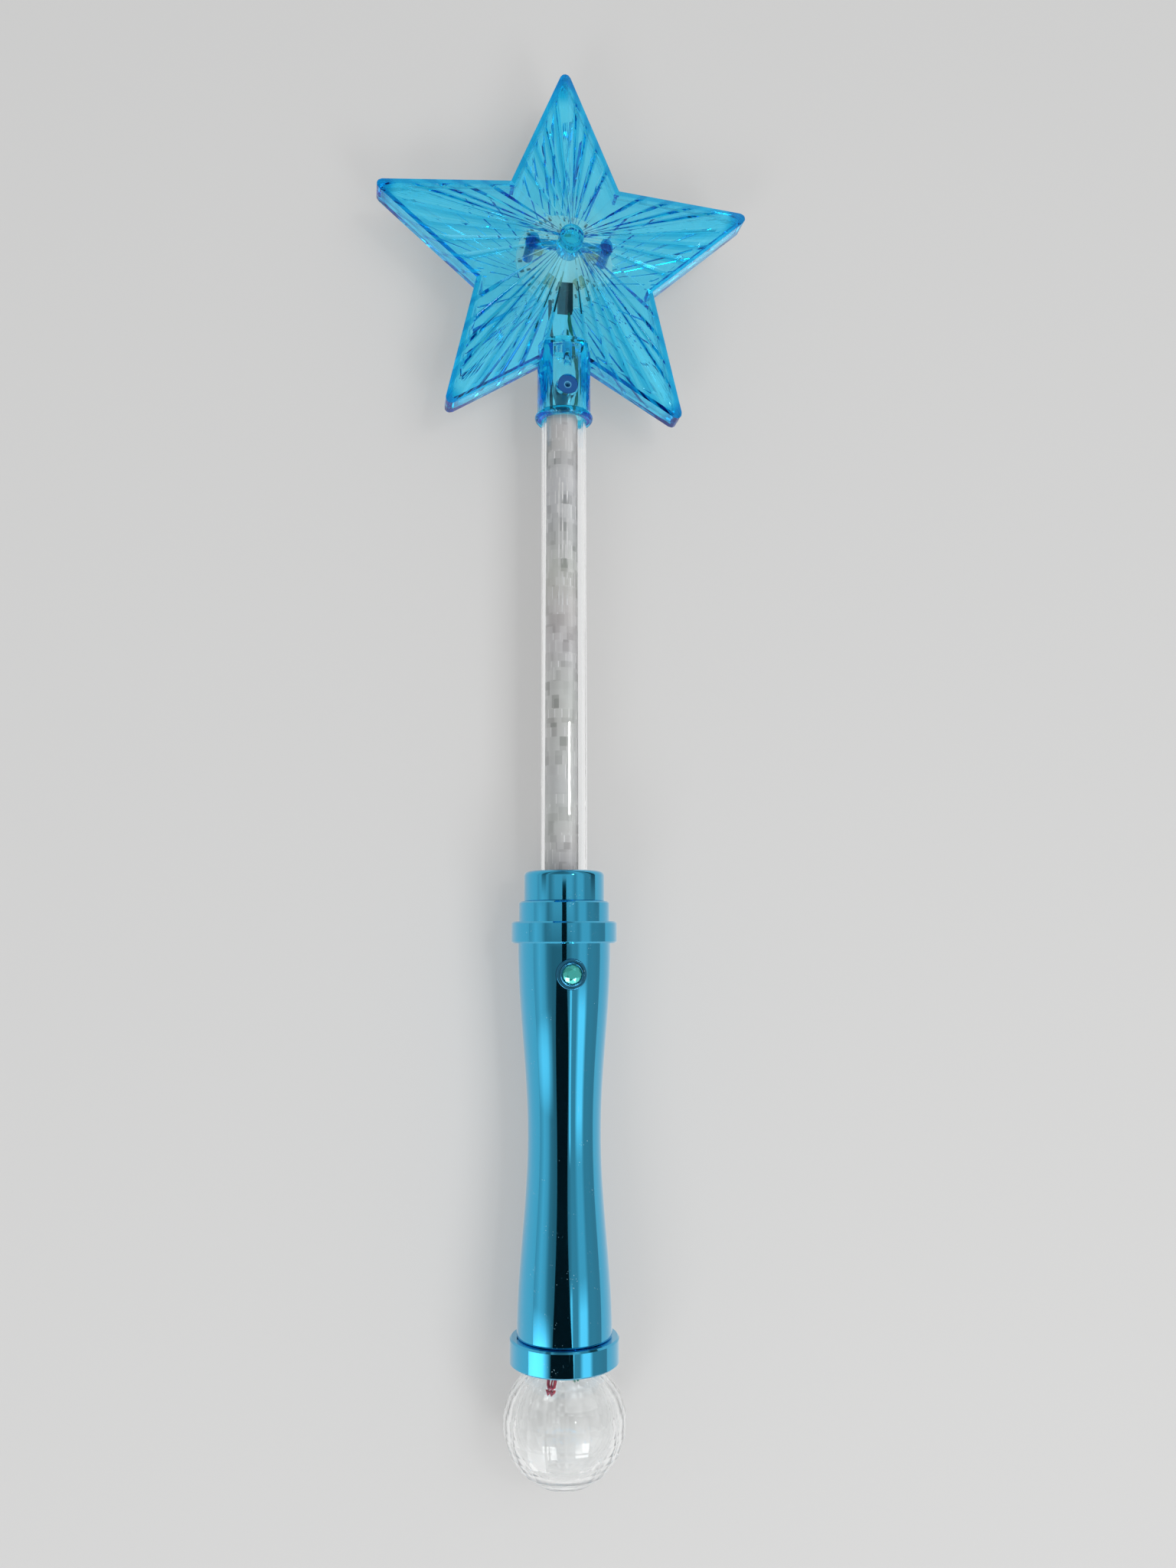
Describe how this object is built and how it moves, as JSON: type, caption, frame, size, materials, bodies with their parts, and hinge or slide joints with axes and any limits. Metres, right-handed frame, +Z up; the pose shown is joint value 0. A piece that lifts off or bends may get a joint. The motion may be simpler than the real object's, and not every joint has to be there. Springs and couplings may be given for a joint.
{
  "type": "toy magic wand",
  "caption": "Light-up star wand: fluted clear star on a clear tube with laser film, plated waisted handle with push button, faceted clear ball at the end.",
  "frame": {"origin": "under the middle of the wand as it lies on its back, on the surface it lies on", "axes": "+Y along the wand from the ball to the star, +Z up out of the star's face and the button, +X across the star"},
  "size_m": [0.1226, 0.4466, 0.0361],
  "materials": {
    "tinted_clear": "clear cyan-blue moulded plastic, polished",
    "tinted_pin": "deep blue clear plastic",
    "board_white": "white solder mask",
    "board_green": "green solder mask",
    "lamp_white": "pale lamp package",
    "lamp_clear": "water-clear lamp resin",
    "black_plastic": "black moulding",
    "white_plastic": "white moulding",
    "lead_black": "soft insulation",
    "lead_green": "soft insulation",
    "lead_red": "soft insulation",
    "clear_tube": "clear extruded tube",
    "laser_film": "silvery laser film with staggered panes",
    "plated_blue": "electroplated metallic blue, mirror gloss",
    "plated_button": "electroplated metallic blue",
    "teal_stone": "faceted acrylic stone",
    "cell_steel": "bright cell can",
    "contact_steel": "nickel-plated spring strip",
    "screw_steel": "zinc-plated",
    "clear_ball": "clear faceted acrylic"
  },
  "bodies": {
    "wand": {"star_front_shell": "tinted_clear", "star_back_shell": "tinted_clear", "neck_pin": "tinted_pin", "star_board": "board_white", "star_lamps_group": "lamp_white", "lead_connector": "black_plastic", "star_lead_black": "lead_black", "star_lead_green": "lead_green", "shaft_tube": "clear_tube", "hologram_film": "laser_film", "top_ferrule": "plated_blue", "handle_front_shell": "plated_blue", "handle_back_shell": "plated_blue", "end_ring": "plated_blue", "switch_body": "black_plastic", "control_board": "board_green", "tube_lamp": "lamp_clear", "battery_tray": "black_plastic", "button_cells": "cell_steel", "cell_plate": "contact_steel", "cell_leaf": "contact_steel", "battery_lead_red": "lead_red", "battery_lead_black": "lead_black", "battery_door": "plated_blue", "door_screw": "screw_steel", "prism_ball": "clear_ball", "lamp_bush": "white_plastic", "ball_lamp": "lamp_clear", "ball_lead_red": "lead_red", "ball_lead_green": "lead_green"},
    "button": {"button_cap": "plated_button", "button_jewel": "teal_stone", "switch_plunger": "black_plastic"}
  },
  "joints": [
    {"name": "button_press", "type": "slide", "parent": "wand", "child": "button", "axis": [0, 0, -1], "range_m": [0, 0.0008], "stiffness_N_per_m": 1500, "springref_m": -0.0003}
  ]
}
